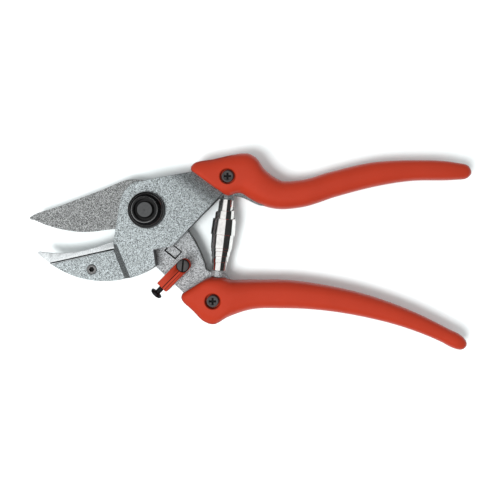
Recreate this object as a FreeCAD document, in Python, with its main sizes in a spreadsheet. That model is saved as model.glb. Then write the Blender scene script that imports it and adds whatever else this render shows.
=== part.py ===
import FreeCAD, Part
import os
import Sketcher

Vector = FreeCAD.Vector
Rotation = FreeCAD.Rotation
Placement = FreeCAD.Placement

# The frame: the origin is on the pivot axis, at the outer face of the bolt head, on which the
# shears rest. +X runs to the handles, +Y to the upper handle and +Z from the back to the front.
# Millimetres and degrees throughout.

SIZES = {
    "shear_z": 8.5,
    "play": 0.05,
    "overcut": 1.0,
    "clear_z": 22.0,
    "rear_back": 2.0,
    "hub_front": 15.0,
    "jaw_front": 13.0,
    "neck_back": 3.5,
    "step_run": 2.4,
    "step_angle": 39.8,
    "slope_angle": 10.3,
    "blade_thick": 3.0,
    "counter_thick": 2.5,
    "tang_back": 5.5,
    "tang_front": 11.5,
    "neck_side": 9.0,
    "shaft_radius": 4.0,
    "shaft_top": 20.2,
    "head_radius": 10.0,
    "head_chamfer": 1.2,
    "bushing_radius": 5.5,
    "well_radius": 8.4,
    "well_floor": 13.4,
    "washer_radius": 8.0,
    "washer_thick": 0.8,
    "disc_thick": 0.9,
    "disc_sheet": 0.3,
    "disc_lip": 1.0,
    "nut_radius": 8.5,
    "nut_rim": 2.2,
    "skirt_inset": 0.6,
    "skirt_height": 0.9,
    "collar_radius": 6.1,
    "collar_top": 20.8,
    "collar_bore": 4.9,
    "thread_depth": 2.4,
    "jaw_screw_radius": 1.5,
    "jaw_screw_head": 2.3,
    "jaw_screw_seat": 11.6,
    "jaw_screw_proud": 0.1,
    "jaw_hex_radius": 1.35,
    "jaw_hex_deep": 1.2,
    "thread_gap": 0.3,
    "grip_screw_radius": 1.5,
    "grip_screw_head": 2.8,
    "grip_screw_seat": 14.4,
    "grip_screw_top": 16.5,
    "grip_recess": 3.5,
    "grip_hole_back": 4.0,
    "cross_long": 3.2,
    "cross_wide": 0.9,
    "cross_deep": 1.2,
    "spring_end": 3.2,
    "spring_middle": 5.7,
    "spring_bore": 2.1,
    "peg_radius": 1.5,
    "peg_length": 3.5,
    "boss_radius": 3.4,
    "boss_length": 3.2,
    "lever_back": 8.95,
    "lever_front": 16.7,
    "lever_wide": 5.9,
    "lever_long": 14.4,
    "lever_angle": 225.6,
    "lock_radius": 1.7,
    "lock_head": 2.8,
    "lock_head_top": 17.9,
    "lock_thread_end": 3.0,
    "slot_wide": 0.7,
    "slot_deep": 0.7,
    "slot_angle": 84.0,
    "stud_z": 13.0,
    "stud_radius": 1.25,
    "stud_bore": 1.45,
    "stud_start": 9.25,
    "stud_neck": 18.0,
    "stud_head": 2.9,
    "stud_head_thick": 1.7,
    "bore_start": 3.2,
    "coil_radius": 1.35,
    "coil_inner": 0.95,
    "pin_radius": 0.5,
    "pin_at": 11.0,
    "pin_short": 0.4,
    "pin_slide_gap": 0.15,
    "pin_slot_start": 10.2,
    "pin_slot_end": 14.8,
    "grip_thick": 17.0,
}

UPPER_SEAT = (36.9, 5.2)
LOWER_SEAT = (33.1, -28.6)
LOCK_PIVOT = (17.1, -25.7)
JAW_SCREW = (-26.3, -27.8)
UPPER_GRIP_SCREW = (37.6, 15.6)
LOWER_GRIP_SCREW = (30.7, -42.3)

BLADE_BACK = "Sizes.shear_z - Sizes.play - Sizes.blade_thick"
BLADE_FRONT = "Sizes.shear_z - Sizes.play"
PLATE_BACK = "Sizes.shear_z + Sizes.play"
PLATE_FRONT = "Sizes.shear_z + Sizes.play + Sizes.counter_thick"
WASHER_BACK = "Sizes.well_floor + Sizes.play"
WASHER_FRONT = WASHER_BACK + " + Sizes.washer_thick"
NUT_BACK = WASHER_FRONT + " + Sizes.disc_thick"
RIM_FRONT = NUT_BACK + " + Sizes.nut_rim"

doc = FreeCAD.newDocument("pruning_shears")


# ---------------------------------------------------------------- drawing helpers

def make_sheet():
    sheet = doc.addObject("Spreadsheet::Sheet", "Sizes")
    for row, (alias, value) in enumerate(SIZES.items(), start=1):
        sheet.set("A%d" % row, alias)
        sheet.set("B%d" % row, str(value))
        sheet.setAlias("B%d" % row, alias)
    doc.recompute()
    return sheet


def size(alias):
    return float(doc.getObject("Sizes").get(alias))


def flat(point):
    return Vector(point[0], point[1], 0)


def new_body(name):
    body = doc.addObject("PartDesign::Body", name)
    body.Label = name
    return body


def lie_on_plane(feature, body, role="XY_Plane"):
    plane = next(item for item in body.Origin.OriginFeatures if item.Role == role)
    feature.AttachmentSupport = (plane, [""])
    feature.MapMode = "FlatFace"


def new_sketch(body, name, height):
    sketch = body.newObject("Sketcher::SketchObject", name)
    lie_on_plane(sketch, body)
    sketch.setExpression("AttachmentOffset.Base.z", height)
    return sketch


def draw_outline(sketch, start, steps):
    """Adds a closed outline: each step is a word, line, arc or curve, and the points it passes."""
    here = flat(start)
    for kind, *points in steps:
        stops = [flat(point) for point in points]
        if kind == "line":
            for stop in stops:
                sketch.addGeometry(Part.LineSegment(here, stop))
                here = stop
        elif kind == "arc":
            sketch.addGeometry(Part.Arc(here, stops[0], stops[1]))
        else:
            curve = Part.BSplineCurve()
            curve.interpolate([here] + stops)
            sketch.addGeometry(curve)
        here = stops[-1]


def pad(body, name, start, steps, bottom, top):
    sketch = new_sketch(body, name + "_outline", bottom)
    draw_outline(sketch, start, steps)
    feature = body.newObject("PartDesign::Pad", name)
    feature.Profile = sketch
    feature.setExpression("Length", "%s - (%s)" % (top, bottom))
    return feature


def cut_up(body, name, sketch, length):
    feature = body.newObject("PartDesign::Pocket", name)
    feature.Profile = sketch
    feature.Reversed = True
    feature.setExpression("Length", length)
    return feature


def pocket(body, name, start, steps, bottom, top):
    sketch = new_sketch(body, name + "_outline", bottom)
    draw_outline(sketch, start, steps)
    return cut_up(body, name, sketch, "%s - (%s)" % (top, bottom))


def round_hole(body, name, centre, radius, bottom="0"):
    """A hole that is open to the front."""
    sketch = new_sketch(body, name + "_circle", bottom)
    circle = sketch.addGeometry(Part.Circle(flat(centre), Vector(0, 0, 1), 1.0))
    sketch.addConstraint(Sketcher.Constraint("Radius", circle, 1.0))
    sketch.setExpression("Constraints[0]", radius)
    return cut_up(body, name, sketch, "Sizes.clear_z - (%s)" % bottom)


def square_hole(body, name, side):
    """A square hole right through, centred on the pivot axis."""
    hole = body.newObject("PartDesign::SubtractiveBox", name)
    lie_on_plane(hole, body)
    hole.setExpression("Length", side)
    hole.setExpression("Width", side)
    hole.setExpression("Height", "Sizes.clear_z")
    hole.setExpression("AttachmentOffset.Base.x", "-(%s) / 2" % side)
    hole.setExpression("AttachmentOffset.Base.y", "-(%s) / 2" % side)
    return hole


def round_post(body, name, place, radius, length):
    post = body.newObject("PartDesign::AdditiveCylinder", name)
    lie_on_plane(post, body)
    post.AttachmentOffset = place
    post.setExpression("Radius", radius)
    post.setExpression("Height", length)
    return post


def cylinder(name, radius, bottom, top, centre=(0, 0)):
    solid = doc.addObject("Part::Cylinder", name)
    solid.Placement = Placement(flat(centre), Rotation())
    solid.setExpression("Radius", radius)
    solid.setExpression("Height", "%s - (%s)" % (top, bottom))
    solid.setExpression("Placement.Base.z", bottom)
    return solid


def cone(name, lower_radius, upper_radius, bottom, top, centre=(0, 0)):
    solid = doc.addObject("Part::Cone", name)
    solid.Placement = Placement(flat(centre), Rotation())
    solid.setExpression("Radius1", lower_radius)
    solid.setExpression("Radius2", upper_radius)
    solid.setExpression("Height", "%s - (%s)" % (top, bottom))
    solid.setExpression("Placement.Base.z", bottom)
    return solid


def box(name, length, width, bottom, top, centre=(0, 0), angle=0):
    """A box centred on a vertical line and turned about it."""
    solid = doc.addObject("Part::Box", name)
    solid.setExpression("Length", length)
    solid.setExpression("Width", width)
    solid.setExpression("Height", "%s - (%s)" % (top, bottom))
    doc.recompute()
    turn = Rotation(Vector(0, 0, 1), angle)
    corner = Vector(solid.Length.Value / 2, solid.Width.Value / 2, 0)
    solid.Placement = Placement(flat(centre) - turn.multVec(corner), turn)
    solid.setExpression("Placement.Base.z", bottom)
    return solid


def fuse(name, *solids):
    joined = doc.addObject("Part::MultiFuse", name)
    joined.Shapes = list(solids)
    return joined


def cut(name, base, tool):
    result = doc.addObject("Part::Cut", name)
    result.Base = base
    result.Tool = tool
    return result


def named(piece, name):
    piece.Label = name
    return piece


# ---------------------------------------------------------------- places shared by several pieces

def spring_axis():
    return (flat(UPPER_SEAT) - flat(LOWER_SEAT)).normalize()


def upper_spring_place(back_off=0.0):
    """On the spring's axis at its upper end, facing down the spring."""
    down = spring_axis() * -1
    spot = flat(UPPER_SEAT) + Vector(0, 0, size("shear_z"))
    return Placement(spot - down * back_off, Rotation(Vector(0, 0, 1), down))


def lower_spring_place(back_off=0.0):
    """On the spring's axis at its lower end, facing up the spring."""
    up = spring_axis()
    spot = flat(LOWER_SEAT) + Vector(0, 0, size("shear_z"))
    return Placement(spot - up * back_off, Rotation(Vector(0, 0, 1), up))


def lever_place():
    return Placement(flat(LOCK_PIVOT), Rotation(Vector(0, 0, 1), size("lever_angle")))


# ---------------------------------------------------------------- front casting and what it carries

NECK_SLOPE = ((-24.0, 35.5), (41.7, -10.1))
JAW_SLOPE = ((-7.7, -31.2), (-13.3, -17.5))


def slope_down(body, name, line, angle, run):
    """Cuts the front face to a slope that starts on a line and falls to the left of it."""
    start, end = flat(line[0]), flat(line[1])
    along = (end - start).normalize()
    margin = 2
    wedge = body.newObject("PartDesign::SubtractiveBox", name)
    lie_on_plane(wedge, body)
    wedge.Length = start.distanceToPoint(end) + 2 * margin
    wedge.setExpression("Width", "%s / cos(%s * 1 deg)" % (run, angle))
    wedge.setExpression("Height", "Sizes.hub_front")
    level = Rotation(along, Vector(-along.y, along.x, 0), Vector(0, 0, 1), "ZXY")
    tilt = Rotation(along, -size(angle.split(".")[1]))
    corner = start - along * margin + Vector(0, 0, size("hub_front"))
    wedge.AttachmentOffset = Placement(corner, tilt.multiply(level))


def make_upper_handle():
    body = new_body("upper_handle")
    pad(body, "cheek", (24.5, 18.9), [
        ("line", (-5.4, 13.1)),
        ("arc", (-9.6, 10.1), (-12.2, 5.0)),
        ("curve", (-14.0, -4.5), (-15.7, -16.0)),
        ("line", (-15.9, -18.6), (-10.4, -32.1)),
        ("arc", (-2.2, -29.7), (4.1, -25.9)),
        ("line", (3.1, -18.6), (8.2, -17.4)),
        ("arc", (10.6, -17.3), (12.4, -16.3)),
        ("line", (32.7, 5.4), (35.5, 8.5), (36.5, 12.5), (24.5, 18.9)),
    ], PLATE_BACK, "Sizes.hub_front")
    pad(body, "jaw", (-11.0, -17.45), [
        ("line", (-45.2, -25.5)),
        ("arc", (-27.6, -32.7), (-10.4, -32.1)),
        ("line", (-6.0, -26.0), (-11.0, -17.45)),
    ], PLATE_BACK, "Sizes.jaw_front")
    slope_down(body, "jaw_step", JAW_SLOPE, "Sizes.step_angle", "Sizes.step_run")
    pad(body, "neck", (15.5, 16.9), [
        ("line", (27.5, 0.2), (32.7, 5.4), (35.5, 8.5), (36.5, 12.5), (24.5, 18.6), (15.5, 16.9)),
    ], "Sizes.neck_back", "Sizes.shear_z + Sizes.overcut")
    slope_down(body, "neck_slope", NECK_SLOPE, "Sizes.slope_angle", "Sizes.hub_front * 2")
    pad(body, "tang", (28.0, 17.0), [
        ("line", (31.0, 5.4), (33.2, 6.0), (39.4, 5.8), (40.6, 7.0)),
        ("curve", (44.7, 6.1), (53.7, 2.3), (62.0, 3.4), (75.0, 6.0), (95.0, 12.6), (124.0, 16.6)),
        ("line", (124.4, 19.4)),
        ("curve", (95.0, 16.4), (76.0, 10.6), (64.0, 8.4), (55.0, 11.5), (45.0, 20.5)),
        ("line", (28.0, 17.0)),
    ], "Sizes.tang_back", "Sizes.tang_front")
    pocket(body, "counter_blade_seat", (-9.4, -13.0), [
        ("line", (-50.0, -13.0), (-50.0, -25.4), (-44.7, -26.7), (-34.0, -28.9), (-24.0, -30.6)),
        ("line", (-16.0, -30.6), (-11.8, -24.1), (-9.4, -15.9), (-9.4, -13.0)),
    ], "0", PLATE_FRONT)
    round_hole(body, "pivot_bore", (0, 0), "Sizes.bushing_radius + Sizes.play")
    round_hole(body, "washer_well", (0, 0), "Sizes.well_radius", "Sizes.well_floor")
    round_hole(body, "jaw_screw_hole", JAW_SCREW, "Sizes.jaw_screw_radius")
    round_hole(body, "jaw_screw_well", JAW_SCREW, "Sizes.jaw_screw_head", "Sizes.jaw_screw_seat")
    round_hole(body, "grip_screw_hole", UPPER_GRIP_SCREW, "Sizes.grip_screw_radius")
    boss_place = upper_spring_place(size("boss_length"))
    round_post(body, "spring_boss", boss_place, "Sizes.boss_radius", "Sizes.boss_length")
    round_post(body, "spring_peg", upper_spring_place(), "Sizes.peg_radius", "Sizes.peg_length")
    return body


def make_counter_blade():
    body = new_body("counter_blade")
    pad(body, "plate", (-9.6, -16.0), [
        ("curve", (-16.7, -14.9), (-23.5, -17.0), (-30.3, -18.9), (-41.6, -20.2), (-52.4, -19.5)),
        ("line", (-52.4, -20.4)),
        ("curve", (-49.0, -23.3), (-44.7, -26.6)),
        ("line", (-34.0, -28.7), (-24.0, -30.4), (-16.3, -30.4), (-12.1, -24.0), (-9.6, -16.0)),
    ], PLATE_BACK, PLATE_FRONT)
    round_hole(body, "screw_thread", JAW_SCREW, "Sizes.jaw_screw_radius")
    return body


def make_counter_blade_screw():
    head_front = "Sizes.jaw_front + Sizes.jaw_screw_proud"
    shank = cylinder("jaw_screw_shank", "Sizes.jaw_screw_radius", "Sizes.shear_z + Sizes.thread_gap",
                     "Sizes.jaw_screw_seat", JAW_SCREW)
    head = cylinder("jaw_screw_head", "Sizes.jaw_screw_head", "Sizes.jaw_screw_seat", head_front, JAW_SCREW)
    socket = doc.addObject("Part::Prism", "jaw_screw_socket")
    socket.Polygon = 6
    socket.setExpression("Circumradius", "Sizes.jaw_hex_radius")
    socket.setExpression("Height", "Sizes.jaw_hex_deep + Sizes.overcut")
    socket.Placement = Placement(flat(JAW_SCREW), Rotation())
    socket.setExpression("Placement.Base.z", head_front + " - Sizes.jaw_hex_deep")
    return named(cut("jaw_screw", fuse("jaw_screw_blank", shank, head), socket), "counter_blade_screw")


# ---------------------------------------------------------------- grips

UPPER_RIBS = [
    ((19.4, 19.4), (33.0, 9.3), 16.4),
    ((21.6, 22.2), (36.3, 7.3), 17.0),
    ((31.0, 24.2), (39.0, 7.1), 17.0),
    ((40.6, 26.4), (41.8, 8.0), 17.0),
    ((46.6, 27.1), (44.4, 7.7), 17.0),
    ((50.6, 25.3), (47.8, 5.4), 16.6),
    ((54.8, 19.8), (53.6, 2.5), 15.4),
    ((62.0, 14.6), (61.5, 0.7), 13.6),
    ((71.7, 14.5), (72.6, 1.5), 12.9),
    ((86.2, 18.4), (89.2, 6.6), 12.0),
    ((106.7, 23.0), (108.6, 11.6), 11.0),
    ((124.0, 24.0), (124.4, 14.1), 9.6),
    ((146.5, 22.8), (146.0, 14.7), 7.8),
    ((151.6, 21.7), (151.2, 15.2), 6.2),
    ((153.3, 19.6), (153.2, 16.8), 2.6),
]

LOWER_RIBS = [
    ((28.4, -31.6), (15.1, -40.0), 14.8),
    ((32.0, -31.7), (16.2, -42.9), 17.0),
    ((36.0, -32.1), (20.7, -47.1), 17.0),
    ((39.6, -33.3), (26.0, -52.4), 17.0),
    ((44.0, -33.2), (30.6, -54.0), 17.0),
    ((48.0, -33.1), (37.4, -50.6), 16.0),
    ((54.0, -33.1), (47.2, -47.3), 14.4),
    ((66.1, -33.2), (64.6, -46.6), 12.9),
    ((86.4, -36.0), (83.5, -47.7), 11.0),
    ((106.9, -41.1), (103.5, -51.0), 9.6),
    ((124.1, -47.4), (120.5, -55.4), 8.4),
    ((142.5, -56.3), (138.8, -62.5), 7.0),
    ((149.3, -60.0), (145.6, -65.9), 6.4),
    ((151.2, -62.4), (148.6, -66.5), 4.4),
    ((151.5, -63.9), (150.2, -65.8), 1.8),
]


def grip_rib(top, bottom, thickness):
    """A section across a grip: flat on the front and back, round on the two sides."""
    across = (flat(bottom) - flat(top)).normalize()
    level = Vector(0, 0, size("shear_z"))
    up = Vector(0, 0, thickness / 2)
    first = flat(top) + level + across * thickness / 2
    second = flat(bottom) + level - across * thickness / 2
    return Part.Wire([
        Part.LineSegment(first + up, second + up).toShape(),
        Part.Arc(second + up, flat(bottom) + level, second - up).toShape(),
        Part.LineSegment(second - up, first - up).toShape(),
        Part.Arc(first - up, flat(top) + level, first + up).toShape(),
    ])


def make_grip(name, ribs, casting, screw):
    """A moulded grip, hollow where the casting's tang runs and open where its screw goes in."""
    shape = Part.makeLoft([grip_rib(*rib) for rib in ribs], True, True)
    shape = shape.cut(casting.Shape)
    seat = flat(screw) + Vector(0, 0, size("grip_screw_seat"))
    well = Part.makeCylinder(size("grip_recess"), size("grip_thick"), seat)
    start = flat(screw) + Vector(0, 0, size("grip_hole_back"))
    hole = Part.makeCylinder(size("grip_screw_radius"), size("grip_thick"), start)
    grip = doc.addObject("Part::Feature", name)
    grip.Shape = shape.cut(well).cut(hole)
    return named(grip, name)


def make_grip_screw(name, centre):
    shank = cylinder(name + "_shank", "Sizes.grip_screw_radius", "Sizes.tang_back - Sizes.thread_gap",
                     "Sizes.grip_screw_seat", centre)
    head = cylinder(name + "_head", "Sizes.grip_screw_head", "Sizes.grip_screw_seat",
                    "Sizes.grip_screw_top", centre)
    blank = fuse(name + "_blank", shank, head)
    cross_bottom = "Sizes.grip_screw_top - Sizes.cross_deep"
    cross_top = "Sizes.grip_screw_top + Sizes.overcut"
    bars = [box(name + "_bar_%d" % angle, "Sizes.cross_long", "Sizes.cross_wide",
                cross_bottom, cross_top, centre, angle) for angle in (0, 90)]
    return named(cut(name, blank, fuse(name + "_cross", *bars)), name)


# ---------------------------------------------------------------- return spring

def make_volute_spring():
    """The outer shape of the two nested volutes, hollow along the middle."""
    length = flat(UPPER_SEAT).distanceToPoint(flat(LOWER_SEAT)) - 2 * size("play")
    half = str(length / 2)
    lower = cone("spring_lower", "Sizes.spring_end", "Sizes.spring_middle", "0", half)
    upper = cone("spring_upper", "Sizes.spring_middle", "Sizes.spring_end", half, str(length))
    hole = cylinder("spring_hole", "Sizes.spring_bore", "-Sizes.overcut", "%s + Sizes.overcut" % length)
    spring = cut("spring_body", fuse("spring_blank", lower, upper), hole)
    spring.Placement = lower_spring_place(-size("play"))
    return named(spring, "volute_spring")


# ---------------------------------------------------------------- rear casting and what it carries

def make_lower_handle():
    body = new_body("lower_handle")
    pad(body, "cheek", (-9.6, -8.0), [
        ("arc", (-2.0, 12.3), (12.3, -2.2)),
        ("curve", (16.0, -6.6), (21.1, -13.9), (24.6, -21.0), (26.6, -26.0)),
        ("arc", (27.4, -28.4), (29.6, -29.1)),
        ("line", (33.0, -29.1), (36.0, -29.5), (36.4, -31.0), (40.0, -36.0), (30.0, -46.0)),
        ("line", (20.0, -42.8), (2.8, -26.6)),
        ("curve", (-4.5, -18.5), (-9.6, -8.0)),
    ], "Sizes.rear_back", BLADE_FRONT)
    pad(body, "tang", (22.5, -40.0), [
        ("line", (30.0, -35.0), (40.0, -36.4)),
        ("curve", (62.0, -37.0), (84.0, -40.2), (108.0, -44.8), (128.8, -53.0)),
        ("line", (127.6, -55.4)),
        ("curve", (106.0, -48.6), (84.0, -44.2), (62.0, -43.0), (38.0, -45.6)),
        ("line", (30.0, -48.2), (22.5, -40.0)),
    ], "Sizes.tang_back", "Sizes.tang_front")
    pocket(body, "blade_seat", (-30.0, 12.75), [
        ("line", (0.0, 12.75)),
        ("arc", (10.5, 7.3), (12.5, -2.8)),
        ("line", (7.2, -13.2), (15.4, -19.7), (12.3, -23.15), (7.2, -19.1), (8.3, -17.7), (4.3, -14.6)),
        ("line", (-6.4, -11.9)),
        ("line", (-30.0, -11.9), (-30.0, 12.75)),
    ], BLADE_BACK, "Sizes.shear_z + Sizes.overcut")
    square_hole(body, "neck_hole", "Sizes.neck_side")
    round_hole(body, "lock_thread", LOCK_PIVOT, "Sizes.lock_radius", "Sizes.lock_thread_end")
    round_hole(body, "grip_screw_hole", LOWER_GRIP_SCREW, "Sizes.grip_screw_radius")
    boss_place = lower_spring_place(size("boss_length"))
    round_post(body, "spring_boss", boss_place, "Sizes.boss_radius", "Sizes.boss_length")
    round_post(body, "spring_peg", lower_spring_place(), "Sizes.peg_radius", "Sizes.peg_length")
    return body


def make_cutting_blade():
    body = new_body("cutting_blade")
    pad(body, "plate", (-57.3, -3.2), [
        ("curve", (-55.6, -2.1), (-48.0, 0.5), (-37.1, 4.4), (-25.6, 8.8), (-14.6, 13.4)),
        ("curve", (-10.8, 14.6), (-6.4, 14.9), (-0.6, 14.3)),
        ("line", (0.0, 12.5)),
        ("arc", (10.3, 7.1), (12.2, -2.8)),
        ("line", (7.0, -13.4), (14.9, -19.7), (12.3, -22.6), (7.8, -19.0), (8.9, -17.6), (4.6, -14.2)),
        ("line", (-6.0, -10.7)),
        ("curve", (-17.5, -8.9), (-28.5, -10.2), (-40.0, -9.4), (-49.5, -6.9), (-55.6, -4.3)),
        ("arc", (-57.1, -3.9), (-57.3, -3.2)),
    ], BLADE_BACK, BLADE_FRONT)
    square_hole(body, "neck_hole", "Sizes.neck_side")
    return body


# ---------------------------------------------------------------- pivot

def make_pivot_bolt():
    head = cone("bolt_head", "Sizes.head_radius - Sizes.head_chamfer", "Sizes.head_radius",
                "0", "Sizes.head_chamfer")
    rim = cylinder("bolt_rim", "Sizes.head_radius", "Sizes.head_chamfer", "Sizes.rear_back")
    neck = box("bolt_neck", "Sizes.neck_side", "Sizes.neck_side", "Sizes.rear_back", BLADE_FRONT)
    shaft = cylinder("bolt_shaft", "Sizes.shaft_radius", "Sizes.rear_back", "Sizes.shaft_top")
    return named(fuse("bolt", head, rim, neck, shaft), "pivot_bolt")


def make_pivot_bushing():
    sleeve = cylinder("bushing_sleeve", "Sizes.bushing_radius", "Sizes.shear_z", WASHER_BACK)
    hole = cylinder("bushing_hole", "Sizes.shaft_radius", "0", "Sizes.clear_z")
    return named(cut("bushing", sleeve, hole), "pivot_bushing")


def make_pivot_washer():
    ring = cylinder("washer_ring", "Sizes.washer_radius", WASHER_BACK, WASHER_FRONT)
    hole = cylinder("washer_hole", "Sizes.shaft_radius", "0", "Sizes.clear_z")
    return named(cut("washer", ring, hole), "pivot_washer")


def make_pivot_disc_spring():
    dome = cone("disc_dome", "Sizes.washer_radius - Sizes.play", "Sizes.collar_bore", WASHER_FRONT, NUT_BACK)
    hollow = cone("disc_hollow", "Sizes.washer_radius - Sizes.disc_lip", "Sizes.collar_bore - Sizes.disc_lip",
                  WASHER_FRONT, NUT_BACK + " - Sizes.disc_sheet")
    hole = cylinder("disc_hole", "Sizes.shaft_radius + Sizes.play", "0", "Sizes.clear_z")
    return named(cut("disc_spring", dome, fuse("disc_inside", hollow, hole)), "pivot_disc_spring")


def make_pivot_nut():
    rim = cylinder("nut_rim", "Sizes.nut_radius", NUT_BACK, RIM_FRONT)
    skirt = cone("nut_skirt", "Sizes.nut_radius - Sizes.skirt_inset", "Sizes.collar_radius",
                 RIM_FRONT, RIM_FRONT + " + Sizes.skirt_height")
    collar = cylinder("nut_collar", "Sizes.collar_radius", NUT_BACK, "Sizes.collar_top")
    blank = fuse("nut_blank", rim, skirt, collar)
    hole = cylinder("nut_thread", "Sizes.shaft_radius", "0", "Sizes.clear_z")
    well = cylinder("nut_well", "Sizes.collar_bore", "Sizes.collar_top - Sizes.thread_depth", "Sizes.clear_z")
    return named(cut("nut", blank, fuse("nut_inside", hole, well)), "pivot_nut")


# ---------------------------------------------------------------- lock

def make_lock_screw():
    head_back = "Sizes.lever_front + Sizes.play"
    shank = cylinder("lock_shank", "Sizes.lock_radius", "Sizes.lock_thread_end", head_back, LOCK_PIVOT)
    head = cylinder("lock_cap", "Sizes.lock_head", head_back, "Sizes.lock_head_top", LOCK_PIVOT)
    slot = box("lock_slot", "Sizes.lock_head * 3", "Sizes.slot_wide", "Sizes.lock_head_top - Sizes.slot_deep",
               "Sizes.clear_z", LOCK_PIVOT, size("slot_angle"))
    return named(cut("lock_bolt", fuse("lock_blank", shank, head), slot), "lock_screw")


def make_lever_wave_washer():
    ring = cylinder("wave_ring", "Sizes.lock_head", BLADE_FRONT, "Sizes.lever_back - Sizes.play", LOCK_PIVOT)
    hole = cylinder("wave_hole", "Sizes.lock_radius", "0", "Sizes.clear_z", LOCK_PIVOT)
    return named(cut("wave_washer", ring, hole), "lever_wave_washer")


def lever_rod(name, radius, start, end):
    rod = doc.addObject("Part::Cylinder", name)
    rod.setExpression("Radius", radius)
    rod.setExpression("Height", "%s - (%s)" % (end, start))
    rod.Placement = Placement(Vector(), Rotation(Vector(0, 0, 1), Vector(1, 0, 0)))
    rod.setExpression("Placement.Base.x", start)
    rod.setExpression("Placement.Base.z", "Sizes.stud_z")
    return rod


def cross_pin(name, length, place):
    pin = doc.addObject("Part::Cylinder", name)
    pin.setExpression("Radius", "Sizes.pin_radius")
    pin.setExpression("Height", length)
    doc.recompute()
    start = Vector(size("pin_at"), -pin.Height.Value / 2, size("stud_z"))
    pin.Placement = place.multiply(Placement(start, Rotation(Vector(0, 0, 1), Vector(0, 1, 0))))
    return pin


def make_lock_lever():
    bar = doc.addObject("Part::Box", "lever_bar")
    bar.setExpression("Length", "Sizes.lever_long")
    bar.setExpression("Width", "Sizes.lever_wide")
    bar.setExpression("Height", "Sizes.lever_front - Sizes.lever_back")
    bar.setExpression("Placement.Base.y", "-Sizes.lever_wide / 2")
    bar.setExpression("Placement.Base.z", "Sizes.lever_back")
    end = cylinder("lever_end", "Sizes.lever_wide / 2", "Sizes.lever_back", "Sizes.lever_front")
    pivot = cylinder("lever_hole", "Sizes.lock_radius + Sizes.play", "0", "Sizes.clear_z")
    bore = lever_rod("lever_bore", "Sizes.stud_bore", "Sizes.bore_start", "Sizes.lever_long + Sizes.overcut")
    pin_hole = cross_pin("lever_pin_hole", "Sizes.lever_wide + Sizes.overcut", Placement())
    holes = fuse("lever_holes", pivot, bore, pin_hole)
    lever = cut("lever", fuse("lever_blank", bar, end), holes)
    lever.Placement = lever_place()
    return named(lever, "lock_lever")


def make_stud_pin():
    return named(cross_pin("pin", "Sizes.lever_wide - Sizes.pin_short", lever_place()), "stud_pin")


def make_lock_spring():
    wire = lever_rod("coil_outside", "Sizes.coil_radius", "Sizes.bore_start", "Sizes.stud_start - Sizes.play")
    hole = lever_rod("coil_inside", "Sizes.coil_inner", "Sizes.bore_start - Sizes.overcut",
                     "Sizes.stud_start + Sizes.overcut")
    coil = cut("coil", wire, hole)
    coil.Placement = lever_place()
    return named(coil, "lock_spring")


def make_lock_stud():
    shaft = lever_rod("stud_shaft", "Sizes.stud_radius", "Sizes.stud_start", "Sizes.stud_neck")
    head = lever_rod("stud_cap", "Sizes.stud_head", "Sizes.stud_neck",
                     "Sizes.stud_neck + Sizes.stud_head_thick")
    slot = doc.addObject("Part::Box", "stud_slot")
    slot.setExpression("Length", "Sizes.pin_slot_end - Sizes.pin_slot_start")
    slot.setExpression("Width", "Sizes.stud_radius * 4")
    slot.setExpression("Height", "(Sizes.pin_radius + Sizes.pin_slide_gap) * 2")
    slot.setExpression("Placement.Base.x", "Sizes.pin_slot_start")
    slot.setExpression("Placement.Base.y", "-Sizes.stud_radius * 2")
    slot.setExpression("Placement.Base.z", "Sizes.stud_z - Sizes.pin_radius - Sizes.pin_slide_gap")
    stud = cut("stud", fuse("stud_blank", shaft, head), slot)
    stud.Placement = lever_place()
    return named(stud, "lock_stud")


# ---------------------------------------------------------------- build, check and write

def main():
    make_sheet()
    upper_handle = make_upper_handle()
    lower_handle = make_lower_handle()
    doc.recompute()
    pieces = [
        upper_handle,
        make_counter_blade(),
        make_counter_blade_screw(),
        make_grip("upper_grip", UPPER_RIBS, upper_handle, UPPER_GRIP_SCREW),
        make_grip_screw("upper_grip_screw", UPPER_GRIP_SCREW),
        make_volute_spring(),
        lower_handle,
        make_cutting_blade(),
        make_grip("lower_grip", LOWER_RIBS, lower_handle, LOWER_GRIP_SCREW),
        make_grip_screw("lower_grip_screw", LOWER_GRIP_SCREW),
        make_pivot_bolt(),
        make_pivot_bushing(),
        make_pivot_washer(),
        make_pivot_disc_spring(),
        make_pivot_nut(),
        make_lock_screw(),
        make_lever_wave_washer(),
        make_lock_lever(),
        make_stud_pin(),
        make_lock_spring(),
        make_lock_stud(),
    ]
    doc.recompute()

    for item in doc.Objects:
        if "Invalid" in item.State or "Error" in item.State:
            raise RuntimeError("%s failed: %s" % (item.Name, item.State))
    os.makedirs("parts", exist_ok=True)
    for piece in pieces:
        shape = piece.Shape
        if shape.isNull() or not shape.isValid() or len(shape.Solids) != 1:
            raise RuntimeError("%s: solids %d valid %s" % (piece.Label, len(shape.Solids), shape.isValid()))
        shape.exportStep("parts/%s.step" % piece.Label)
        print("%-22s %9.1f mm3" % (piece.Label, shape.Volume))


main()
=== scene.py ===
import bisect
import math

import bmesh
import bpy
from mathutils import Matrix, Vector


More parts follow.
